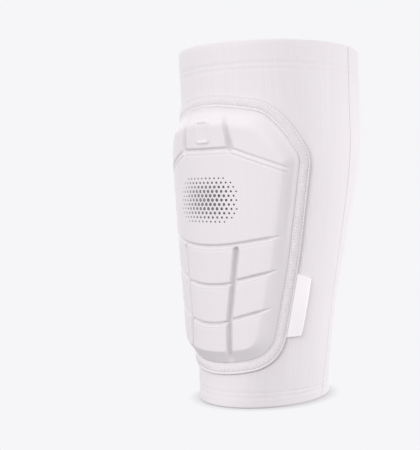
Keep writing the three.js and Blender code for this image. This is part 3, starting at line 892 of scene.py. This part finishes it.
def zigzag(piece, material, crossings, **sizes):
    """Turns a line into a thread that crosses it to and fro and dives into the cloth at each end."""
    graph, geometry, size = node_tree("zigzag thread", "points", "span", "radius", "lift", "sink")
    curve = graph.take("GeometryNodeMeshToCurve", sockets={"Mesh": geometry})
    bends = {"Curve": curve, "Count": size["points"]}
    spaced = graph.take("GeometryNodeResampleCurve", {"mode": "COUNT"}, bends)
    step = graph.take("GeometryNodeInputIndex").math("MODULO", 2 * POINTS_PER_CROSSING)
    going_back = step.math("GREATER_THAN", POINTS_PER_CROSSING - 0.5)
    crossing = step.math("MODULO", POINTS_PER_CROSSING)
    side = crossing.math("GREATER_THAN", 1.5) * 2 - 1
    end = (crossing - 1.5).math("ABSOLUTE").math("GREATER_THAN", 1)
    reach = side * (1 - going_back * 2) * (UP_AT + end * (DOWN_AT - UP_AT)) * size["span"]
    rise = size["lift"] - end * (size["lift"] + size["sink"])
    across = graph.scaled(named(graph, "across", "FLOAT_VECTOR"), reach)
    up = graph.scaled(named(graph, "up", "FLOAT_VECTOR"), rise)
    offset = graph.take("ShaderNodeVectorMath", {"operation": "ADD"}, {0: across, 1: up})
    bent = graph.take("GeometryNodeSetPosition", sockets={"Geometry": spaced, "Offset": offset})
    ring = {"Resolution": 6, "Radius": size["radius"]}
    section = graph.take("GeometryNodeCurvePrimitiveCircle", sockets=ring)
    tube = graph.take("GeometryNodeCurveToMesh", sockets={"Curve": bent, "Profile Curve": section})
    finish_nodes(graph, tube, material, piece, points=float(crossings * POINTS_PER_CROSSING), **sizes)


middle_line = band_line((ZIGZAG_OUTER + ZIGZAG_INNER) / 2, 0.0)
border_zigzag = object_of("border_zigzag", path_mesh("border_zigzag", *middle_line))
zigzag(
    border_zigzag,
    thread,
    2 * zigzags,
    span=ZIGZAG_INNER - ZIGZAG_OUTER,
    radius=ZIGZAG_RADIUS,
    lift=ZIGZAG_LIFT,
    sink=ZIGZAG_SINK,
)
needle_places = (ZIGZAG_OUTER - NEEDLE_ASIDE, ZIGZAG_INNER + NEEDLE_ASIDE)
needle_lines = [band_line(from_edge, -NEEDLE_SINK)[:2] for from_edge in needle_places]
needle_stitches = sewn_rows(
    "needle_stitches", needle_lines, border_length / zigzags, NEEDLE_STITCH_SHARE, NEEDLE_RADIUS
)
for piece in (border_zigzag, needle_stitches):
    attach(piece, "root")
    keep_dark(piece, "rim", "side")


# The pad.
# Moulded foam under a tight knitted cover, in one piece, thin at its edge and 8 mm thick over the shin.
# Pressed grooves divide it into a crest, two shoulders, a shield and nine blocks, and it bends along them.
FOAM_THICKNESS = 8.1 * MM
FOAM_EDGE = 1.9 * MM
FOAM_EDGE_SOFT = 0.15 * MM
FOAM_TO_BAND = 0.06 * MM
SIDE_SLOPE = 11.3 * MM
FOOT_SLOPE = 8.5 * MM
CREST_SLOPE = 12 * MM
# The slope's section, soft on the shoulders and crisp round the foot.
# Columns: share of the slope's width in from the edge, share of the rise.
SOFT_SLOPE = np.array([(0, 0), (0.3, 0.13), (0.92, 0.93), (1.12, 1), (4, 1)])
SOFT_SLOPE_ROUNDING = 0.9 * MM
CRISP_SLOPE = np.array([(0, 0), (0.12, 0.09), (0.97, 0.96), (1.04, 1), (4, 1)])
CRISP_SLOPE_ROUNDING = 0.3 * MM
CRISP_BELOW = 80 * MM
SOFT_ABOVE = 130 * MM
GROOVE_WIDTH = 4 * MM
GROOVE_DEPTH = 3 * MM
# Grooves of the right half. Columns: from reach and height, to reach and height (shares as in PAD_CORNERS),
# width and depth (shares of GROOVE_WIDTH and GROOVE_DEPTH), and the mm over which the far end fades.
GROOVES = np.array([
    (0.284, 0.812, 0.214, 0.96, 1.45, 1.4, 26),
    (0, 0.809, 0.284, 0.812, 0.7, 0.8, 0),
    (0.284, 0.812, 0.8, 0.738, 0.6, 0.45, 4),
    (0, 0.466, 0.316, 0.477, 0.7, 0.85, 0),
    (0.316, 0.477, 0.7, 0.507, 0.7, 0.85, 9),
    (0, 0.326, 0.263, 0.338, 0.7, 0.85, 0),
    (0.312, 0.349, 0.66, 0.388, 0.7, 0.9, 9),
    (0, 0.187, 0.222, 0.201, 0.7, 0.85, 0),
    (0.274, 0.212, 0.59, 0.254, 0.7, 0.9, 9),
    (0.224, 0.2, 0.315, 0.472, 1.15, 1.4, 2.5),
    (0.224, 0.2, 0.215, 0.045, 1.15, 1.4, 0),
])
GROOVE_SOFT = 0.25 * MM
GROOVE_WALL = 0.85  # of the half width; the rest is floor
GROOVE_END_WIDTH = 0.4  # of the groove's width, where a fading end stops
GROOVE_END_POWER = 0.7
THIN_FOAM = 1.2 * MM  # grooves run out where the foam is as thin as this
# Under each groove that runs across the pad is a fine second line. On the brow it is as deep as the groove.
LINE_BELOW = 2.9 * MM
LINE_WIDTH = 1.0 * MM
LINE_DEPTH = 0.3 * MM
BROW_LINE_BELOW = 3.4 * MM
BROW_LINE_DEPTH = 0.9 * MM
BROW_HEIGHT = 0.7  # grooves that start above this share of PAD_HEIGHT are the brow's
PAD_COLUMNS = 289
PAD_ROWS = 337
BACK_STEP = 12  # the pad's back has every twelfth point
FOAM_LINE_POINTS = 500
# The four places on the foam's edge where its grid turns a corner.
GRID_CORNERS = ((-0.56, 0.1), (0.56, 0.1), (0.78, 0.85), (-0.78, 0.85))


def coons_grid(line, columns, rows):
    """A grid of places inside a closed line, fitted to the line between its four grid corners."""
    corner = [int(np.argmin(np.linalg.norm(line - pad_place(*place), axis=1))) for place in GRID_CORNERS]

    def stretch(start, end, count):
        length = (end - start) % len(line)
        return spaced_line(line[(start + np.arange(length + 1)) % len(line)], count)

    bottom = stretch(corner[0], corner[1], columns)
    right = stretch(corner[1], corner[2], rows)
    top = stretch(corner[2], corner[3], columns)[::-1]
    left = stretch(corner[3], corner[0], rows)[::-1]
    s = np.linspace(0, 1, columns)[None, :, None]
    t = np.linspace(0, 1, rows)[:, None, None]
    ruled = (1 - t) * bottom[None] + t * top[None] + (1 - s) * left[:, None] + s * right[:, None]
    low = (1 - s) * bottom[0] + s * bottom[-1]
    high = (1 - s) * top[0] + s * top[-1]
    return ruled - (1 - t) * low - t * high


def from_line(places, line, chunk=4000):
    """Distance of each place from a closed line, and the direction to the nearest point of it."""
    run = np.roll(line, -1, axis=0) - line
    length = (run**2).sum(1)
    flat = places.reshape(-1, 2)
    nearest = np.empty_like(flat)
    for first in range(0, len(flat), chunk):
        part = flat[first : first + chunk, None, :] - line[None]
        t = np.clip((part * run).sum(-1) / length, 0, 1)
        gap = part - t[..., None] * run
        best = np.argmin((gap**2).sum(-1), axis=1)
        nearest[first : first + chunk] = gap[np.arange(len(best)), best]
    distance = np.linalg.norm(nearest, axis=1, keepdims=True)
    direction = nearest / np.maximum(distance, 1e-9)
    return distance.reshape(places.shape[:-1]), direction.reshape(places.shape)


def softened(function, at, soft, samples=7):
    """A function's mean over a short reach on both sides, which rounds its corners."""
    return sum(function(at + shift) for shift in np.linspace(-soft, soft, samples)) / samples


foam_line = spaced_line(inset(outline, BORDER_WIDTH + FOAM_TO_BAND), FOAM_LINE_POINTS, closed=True)
places = coons_grid(foam_line, PAD_COLUMNS, PAD_ROWS)
edge_distance, edge_direction = from_line(places, foam_line)
sideways = edge_direction[..., 0] ** 2
upward = places[..., 1] > PAD_FOOT_HEIGHT + PAD_HEIGHT / 2
end_slope = np.where(upward, CREST_SLOPE, FOOT_SLOPE)
slope_width = end_slope + (SIDE_SLOPE - end_slope) * sideways


def slope_share(section):
    return lambda distance: np.interp(distance / slope_width, *section.T)


soft_rise = softened(slope_share(SOFT_SLOPE), edge_distance, SOFT_SLOPE_ROUNDING)
crisp_rise = softened(slope_share(CRISP_SLOPE), edge_distance, CRISP_SLOPE_ROUNDING)
softness = np.clip((places[..., 1] - CRISP_BELOW) / (SOFT_ABOVE - CRISP_BELOW), 0, 1)
rise = crisp_rise + (soft_rise - crisp_rise) * softness
thickness = FOAM_EDGE + (FOAM_THICKNESS - FOAM_EDGE) * rise
thickness -= FOAM_EDGE_SOFT * np.clip(1 - edge_distance / FOAM_EDGE_SOFT, 0, 1) ** 2

groove_share = np.zeros(thickness.shape)
groove_depth = np.zeros(thickness.shape)


def channel(half_width):
    """A groove's section, as a share of its depth at a distance from its middle."""
    return lambda r: np.clip((1 - np.abs(r) / half_width) / GROOVE_WALL, 0, 1)


def press(line, half_width, depth, fade):
    """Presses a groove into the foam between a line's two ends. Its far end fades out over a length."""
    start, end = line
    run = end - start
    length = np.linalg.norm(run)
    flat = places.copy()
    if start[0] == 0:
        share = np.clip(np.abs(places[..., 0] / end[0]), 0, 1)
        flat[..., 1] += (end[1] - start[1]) * (share - share**2)
    t = np.clip(((flat - start) @ run) / length**2, 0, 1)
    away = np.linalg.norm(flat - start - t[..., None] * run, axis=-1)
    left = np.clip((1 - t) * length / fade, 0, 1) if fade else 1
    narrowed = away / (GROOVE_END_WIDTH + (1 - GROOVE_END_WIDTH) * left)
    section = softened(channel(half_width), narrowed, GROOVE_SOFT) * left**GROOVE_END_POWER
    np.maximum(groove_share, section * np.clip(depth / GROOVE_DEPTH, 0, 1), out=groove_share)
    np.maximum(groove_depth, section * depth, out=groove_depth)


for from_reach, from_at, to_reach, to_at, width, depth, fade in GROOVES:
    brow = from_at > BROW_HEIGHT
    for side in (1, -1):
        line = np.array([pad_place(from_reach * side, from_at), pad_place(to_reach * side, to_at)])
        press(line, width * GROOVE_WIDTH / 2, depth * GROOVE_DEPTH, fade * MM)
        if abs(line[1, 0] - line[0, 0]) > abs(line[1, 1] - line[0, 1]):
            lower = line - [0, BROW_LINE_BELOW if brow else LINE_BELOW]
            line_depth = BROW_LINE_DEPTH if brow and from_reach else LINE_DEPTH
            press(lower, LINE_WIDTH / 2, line_depth, fade * MM)
groove_depth *= np.clip((thickness - THIN_FOAM) / (FOAM_THICKNESS - THIN_FOAM), 0, 1)

# The moulded frame on the crest, plain and with soft edges.
CREST_FRAME_AT = 0.873
CREST_FRAME_SIZE = np.array([12, 16]) * MM
CREST_FRAME_CORNER = 2.6 * MM
CREST_FRAME_BAR = 1.9 * MM
CREST_FRAME_SOFT = 0.3 * MM
CREST_FRAME_FLANK = 1.8  # how steeply a bar rises to its flat top
CREST_FRAME_RISE = 0.85 * MM
from_middle = np.abs(places - pad_place(0, CREST_FRAME_AT)) - (CREST_FRAME_SIZE / 2 - CREST_FRAME_CORNER)
outside_corner = np.linalg.norm(np.maximum(from_middle, 0), axis=-1)
frame_distance = outside_corner + np.minimum(from_middle.max(-1), 0) - CREST_FRAME_CORNER
from_bar = np.abs(frame_distance + CREST_FRAME_BAR / 2)
on_bar = np.clip(1 - from_bar / (CREST_FRAME_BAR / 2 + CREST_FRAME_SOFT), 0, 1)
frame_lift = CREST_FRAME_RISE * np.clip(on_bar * CREST_FRAME_FLANK, 0, 1)

# The cover is sewn down at the edge and held in the grooves, and the foam's push bulges it between them.
# A cloth simulation of it gives each block its crown.
SIM_STEP = 3  # every third point of the pad's grid
SIM_FRAMES = 20
MOST_SWELL = 1.3 * MM
GROOVE_GRIP = 1.6
EDGE_GRIP = 1.4
EDGE_GRIP_WIDTH = 3 * MM
LEAST_GRIP = 0.02
COVER_CLOTH = {
    "quality": 6,
    "mass": 0.2,
    "tension_stiffness": 25,
    "compression_stiffness": 25,
    "shear_stiffness": 10,
    "bending_stiffness": 2,
    "air_damping": 6,
    "vertex_group_mass": "held",
    "use_pressure": True,
    "uniform_pressure_force": 4.0,
}


def swelling():
    """How far pressure lifts the cover off the moulded form, at each point of the pad's grid."""
    base = cloth_point(places, CLEARANCE + thickness - groove_depth)
    coarse = base[::SIM_STEP, ::SIM_STEP]
    rows, columns = coarse.shape[:2]
    cover = object_of("cover", mesh_of("cover", coarse, grid_faces(rows, columns)))
    held = cover.vertex_groups.new(name="held")
    edge_grip = np.clip(EDGE_GRIP - edge_distance / EDGE_GRIP_WIDTH, 0, 1)
    grip = np.maximum(np.clip(groove_share * GROOVE_GRIP, 0, 1), edge_grip)[::SIM_STEP, ::SIM_STEP]
    for index, weight in enumerate(grip.ravel()):
        if weight > LEAST_GRIP:
            held.add([index], float(weight), "REPLACE")
    cloth = cover.modifiers.new("cloth", "CLOTH")
    for name, value in COVER_CLOTH.items():
        setattr(cloth.settings, name, value)
    cloth.settings.effector_weights.gravity = 0
    cloth.collision_settings.use_collision = False
    cloth.point_cache.frame_start = 1
    cloth.point_cache.frame_end = SIM_FRAMES
    for step in range(1, SIM_FRAMES + 1):
        bpy.context.scene.frame_set(step)
    puffed = cover.evaluated_get(bpy.context.evaluated_depsgraph_get())
    after = np.empty(rows * columns * 3, np.float32)
    puffed.data.vertices.foreach_get("co", after)
    bpy.context.scene.frame_set(1)
    up = (cloth_point(places, MM) - cloth_point(places, 0.0))[::SIM_STEP, ::SIM_STEP] / MM
    lift = ((after.reshape(rows, columns, 3) - coarse) * up).sum(-1)
    bpy.data.objects.remove(cover)
    lift = MOST_SWELL * np.tanh(np.clip(lift, 0, None) / MOST_SWELL)
    row_at = np.arange(PAD_ROWS) / SIM_STEP
    column_at = np.arange(PAD_COLUMNS) / SIM_STEP
    rows_done = np.array([np.interp(column_at, np.arange(columns), row) for row in lift])
    return np.array([np.interp(row_at, np.arange(rows), column) for column in rows_done.T]).T


swell = swelling()
face_offset = CLEARANCE + thickness - groove_depth + swell + frame_lift
front = cloth_point(places, face_offset)
back_places = places[::BACK_STEP, ::BACK_STEP]
back = cloth_point(back_places, CLEARANCE)


def rim_of(rows, columns):
    """The numbers of a grid's outermost points, anticlockwise."""
    low = np.arange(columns - 1)
    right = np.arange(1, rows) * columns - 1
    left = np.arange(rows - 1, 0, -1) * columns
    return np.concatenate([low, right, rows * columns - 1 - low, left])


count = PAD_ROWS * PAD_COLUMNS
front_rim = rim_of(PAD_ROWS, PAD_COLUMNS)
back_rim = rim_of(*back_places.shape[:2]) + count
skirt = []
for index, corner in enumerate(back_rim):
    upper = front_rim[(index * BACK_STEP + np.arange(BACK_STEP + 1)) % len(front_rim)]
    skirt.append([int(corner), int(back_rim[(index + 1) % len(back_rim)]), *upper[::-1].tolist()])
pad_mesh = mesh_of(
    "pad",
    np.concatenate([front.reshape(-1, 3), back.reshape(-1, 3)]),
    grid_faces(PAD_ROWS, PAD_COLUMNS) + skirt + grid_faces(*back_places.shape[:2], count, turned=True),
)
pad_uv = np.concatenate([places.reshape(-1, 2), back_places.reshape(-1, 2)])
add_uv(pad_mesh, pad_uv / [RIB_WIDTH, MM])

# The cover's ribs are not modelled: painted shade in their valleys and a change of roughness show them.
PAD_COLOUR = (0.84, 0.795, 0.825)
PAD_DARK_TONE_AND_VALLEY_SHADE = (0.79, 0.745, 0.775)
# The colour of the painted shade in the cover's grooves and at its edge.
PAD_GROOVE_AND_EDGE_SHADE = (0.69, 0.655, 0.677)
PAD_RIB_SHADE = 0.16
PAD_BUMP = 0.22
PAD_EDGE_SHADE = 0.6  # of the painted shade's colour, painted where the cover dives under the border
PAD_EDGE_SHADE_WIDTH = 1.8 * MM
# Painted shade on the cover, deepest in the grooves and where the cover dives under the border.
edge_share = PAD_EDGE_SHADE * np.clip(1 - edge_distance / PAD_EDGE_SHADE_WIDTH, 0, 1)
groove_and_edge_shade_share = np.maximum(np.clip(groove_depth / GROOVE_DEPTH, 0, 1) ** 2, edge_share)
groove_and_edge_shade_back = np.zeros(back_places.shape[:2])
add_attribute(pad_mesh, "groove_and_edge_shade", np.concatenate([groove_and_edge_shade_share.ravel(), groove_and_edge_shade_back.ravel()]))
pad_cover = knit_material("pad cover", PAD_COLOUR, PAD_DARK_TONE_AND_VALLEY_SHADE, PAD_RIB_SHADE, PAD_BUMP, PAD_GROOVE_AND_EDGE_SHADE)
pad = object_of("pad", pad_mesh, pad_cover)
keep_dark(pad, "rim")
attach(pad, "root")
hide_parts("foam_pad")


# The side label.
# A woven satin ribbon, folded double, whose cut ends are caught under the border's edge. It is plain.
LABEL_LOW = 49.5 * MM
LABEL_HIGH = 94 * MM
LABEL_WIDTH = 10 * MM
LABEL_PLY = 0.35 * MM
LABEL_GAP = 0.75 * MM  # between the middles of its two layers, beyond what they keep at the fold
LABEL_GAP_AT_FOLD = 0.1 * MM
LABEL_FOLD = 0.1  # of its width, over which the layers come together
LABEL_STAND_OFF = 0.75 * MM
LABEL_LIFT = 1.5 * MM
LABEL_TOP_SLANT = 4.5 * MM  # how far its upper end drops towards the fold
LABEL_FOOT_SLANT = -0.8 * MM
LABEL_UNDER = 1.2 * MM
LABEL_ROWS = 60
LABEL_COLUMNS = 24
# The curl of its free edge: its mean, its swing, and the swing's turn up the label and start at the foot.
CURL_MEAN, CURL_SWING = 0.75, 0.35
CURL_TURN, CURL_START = 4.1, 0.6
EDGE_FROM, EDGE_TO = 35 * MM, 150 * MM  # the heights between which the border's edge is looked up

beside_label = (outline[:, 0] > 0) & (outline[:, 1] > EDGE_FROM) & (outline[:, 1] < EDGE_TO)
right_edge = outline[beside_label]
right_edge = right_edge[np.argsort(right_edge[:, 1])]
out = np.concatenate([np.linspace(0, 1, LABEL_COLUMNS), np.linspace(1, 0, LABEL_COLUMNS)[1:]])
ply = np.concatenate([np.zeros(LABEL_COLUMNS), np.ones(LABEL_COLUMNS - 1)])
fold = np.sqrt(np.clip(1 - np.clip((out - 1 + LABEL_FOLD) / LABEL_FOLD, 0, 1) ** 2, 0, 1))
between = (ply - 0.5) * (LABEL_GAP * fold + LABEL_GAP_AT_FOLD)
up_share = np.linspace(0, 1, LABEL_ROWS)[:, None]
straight_height = LABEL_LOW + up_share * (LABEL_HIGH - LABEL_LOW)
edge_arc = np.interp(straight_height, right_edge[:, 1], right_edge[:, 0])
label_slant = LABEL_FOOT_SLANT + (LABEL_TOP_SLANT - LABEL_FOOT_SLANT) * up_share
label_height = straight_height - label_slant * out
label_arc = edge_arc - LABEL_UNDER + out * (LABEL_WIDTH + LABEL_UNDER)
curl = LABEL_LIFT * out**2 * (CURL_MEAN + CURL_SWING * np.sin(up_share * CURL_TURN + CURL_START))
label_offset = CLEARANCE + LABEL_STAND_OFF + between + curl
label_points = cloth_point(np.stack([label_arc, label_height], -1), label_offset)
label_mesh = mesh_of("folded_label", label_points, grid_faces(LABEL_ROWS, len(out), turned=True))
LABEL_COLOUR = (0.90, 0.855, 0.88)
LABEL_SHADE = tuple(0.95 * value for value in LABEL_COLOUR)
LABEL_WEAVE_LENGTH = 43  # mm of weave from foot to top
WARPS_PER_MM = 4
WEFTS_PER_MM = 3
across_mm = (out + 2 * ply * (1 - out)) * LABEL_WIDTH / MM
label_uv = np.stack(np.broadcast_arrays(across_mm, up_share * LABEL_WEAVE_LENGTH), -1)
add_uv(label_mesh, label_uv.reshape(-1, 2))


def ribbon_material():
    """Satin ribbon. The UV map holds millimetres across it and along it."""
    material, graph = new_material("satin ribbon")
    across, along_it = cloth_uv(graph)
    warp = (across * WARPS_PER_MM).wave()
    weft = (along_it * WEFTS_PER_MM).wave()
    sockets = {
        "Base Color": graph.mix(weft * warp * 0.5 + 0.5, LABEL_SHADE, LABEL_COLOUR),
        "Roughness": 0.45 + weft * 0.05,
        "Normal": graph.bump(0.25, 0.05 * MM, warp * 0.5 + weft * 0.5),
        "Sheen Weight": 0.1,
    }
    close_material(graph, sockets)
    return material


folded_label = object_of("folded_label", label_mesh, ribbon_material())
wall = folded_label.modifiers.new("ply", "SOLIDIFY")
wall.thickness = LABEL_PLY
wall.offset = 0
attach(folded_label, "root")
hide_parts("side_label")


# The printed dots.
# A plain field of silver-grey foil dots, heat-printed on the shield and smaller towards the field's edge.
DOT_FIELD = np.array([50, 34]) * MM
DOT_FIELD_SQUARENESS = 3  # 2 would make the field an ellipse
DOT_MIDDLE_AT = 0.632
DOT_PITCH = 3.4 * MM
DOT_RADIUS = 1.25 * MM
DOT_THICKNESS = 0.08 * MM
DOT_SHRINK = 0.62  # of the radius, from the field's middle to its edge
DOT_CORNERS = 14
MOST_DOT_ROWS = 6  # above the middle one, and as many below
MOST_DOT_COLUMNS = 9

spacing = DOT_PITCH * math.sqrt(3) / 2
dot_places = []
dot_sizes = []
for row in range(-MOST_DOT_ROWS, MOST_DOT_ROWS + 1):
    for column in range(-MOST_DOT_COLUMNS, MOST_DOT_COLUMNS + 1):
        from_middle = np.array([(column + 0.5 * (row % 2)) * DOT_PITCH, row * spacing])
        reach = np.linalg.norm(from_middle / (DOT_FIELD / 2), ord=DOT_FIELD_SQUARENESS)
        if reach < 1:
            dot_places.append(from_middle + pad_place(0, DOT_MIDDLE_AT))
            dot_sizes.append(1 - DOT_SHRINK * reach**2)
dot_places = np.array(dot_places)
nearest = ((places.reshape(1, -1, 2) - dot_places[:, None]) ** 2).sum(-1).argmin(1)
dot_offset = face_offset.ravel()[nearest]
dot_up = (cloth_point(dot_places, dot_offset + MM) - cloth_point(dot_places, dot_offset)) / MM
dot_mesh = mesh_of("dot_print", cloth_point(dot_places, dot_offset + DOT_THICKNESS), [])
add_attribute(dot_mesh, "up", dot_up, "FLOAT_VECTOR")
add_attribute(dot_mesh, "size", dot_sizes)
FOIL_LIGHT = (0.42, 0.41, 0.42)
FOIL_DARK = (0.06, 0.056, 0.06)
FOIL_GRAINS_PER_METRE = 900.0


def foil_material():
    """Silver-grey foil that darkens from one side of the field to the other."""
    material, graph = new_material("printed foil")
    place = graph.place()
    across = graph.take("ShaderNodeSeparateXYZ", sockets={0: place})
    share = (across / float(DOT_FIELD[0]) + 0.5).clamped()
    grain = graph.noise(place, FOIL_GRAINS_PER_METRE, 2.0)
    shade = graph.mix(share * 0.9 + grain * 0.1, FOIL_LIGHT, FOIL_DARK)
    close_material(graph, {"Base Color": shade, "Metallic": 0.7, "Roughness": 0.35 + grain * 0.15})
    return material


dot_print = object_of("dot_print", dot_mesh)
graph, geometry, size = node_tree("printed dots", "radius", "thickness")
disc_sizes = {"Vertices": DOT_CORNERS, "Radius": size["radius"], "Depth": size["thickness"]}
disc = graph.take("GeometryNodeMeshCylinder", sockets=disc_sizes)
up = named(graph, "up", "FLOAT_VECTOR")
turn = graph.take("FunctionNodeAlignRotationToVector", {"axis": "Z"}, {"Vector": up})
share = named(graph, "size")
grow = graph.take("ShaderNodeCombineXYZ", sockets={0: share, 1: share, 2: 1.0})
placed = repeated(graph, geometry, disc, turn, grow)
finish_nodes(graph, placed, foil_material(), dot_print, radius=DOT_RADIUS, thickness=DOT_THICKNESS * 2)
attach(dot_print, "root")
